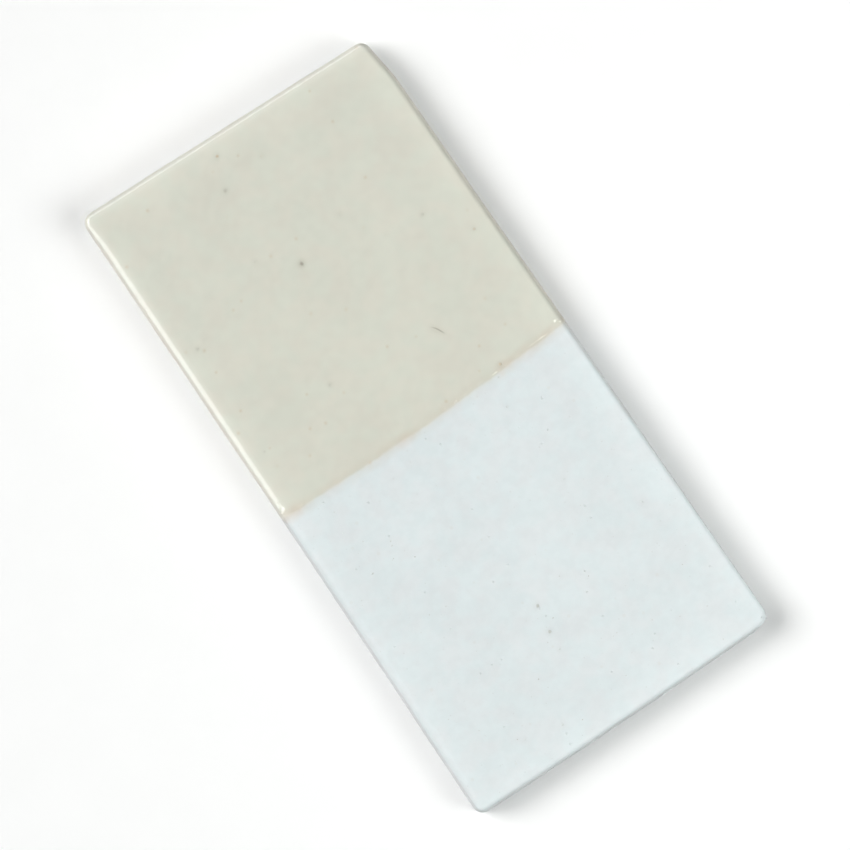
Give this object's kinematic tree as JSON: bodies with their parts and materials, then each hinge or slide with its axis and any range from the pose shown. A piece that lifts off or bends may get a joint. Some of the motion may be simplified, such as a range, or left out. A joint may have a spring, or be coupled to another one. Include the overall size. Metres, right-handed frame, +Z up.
{
  "type": "half-glazed clay sample tile",
  "caption": "Small flat slab of pale fired clay with softly rounded edges, its top glossy glazed over one half and matt bare clay on the other.",
  "frame": {"origin": "centre of the tile's bounding box in plan, at the flat base that it rests on", "axes": "+X across the tile, +Y along it towards the glazed end, +Z up out of the half-glazed top"},
  "size_m": [0.0478, 0.0976, 0.0063],
  "materials": {
    "clay": "matt, bare fired clay",
    "glaze": "gloss, clear glaze that darkens the clay to cream",
    "iron_mineral": "dull, fired iron mineral"
  },
  "bodies": {
    "root": {"clay_slab": "clay", "clear_glaze": "glaze", "iron_grains": "iron_mineral"}
  },
  "joints": []
}
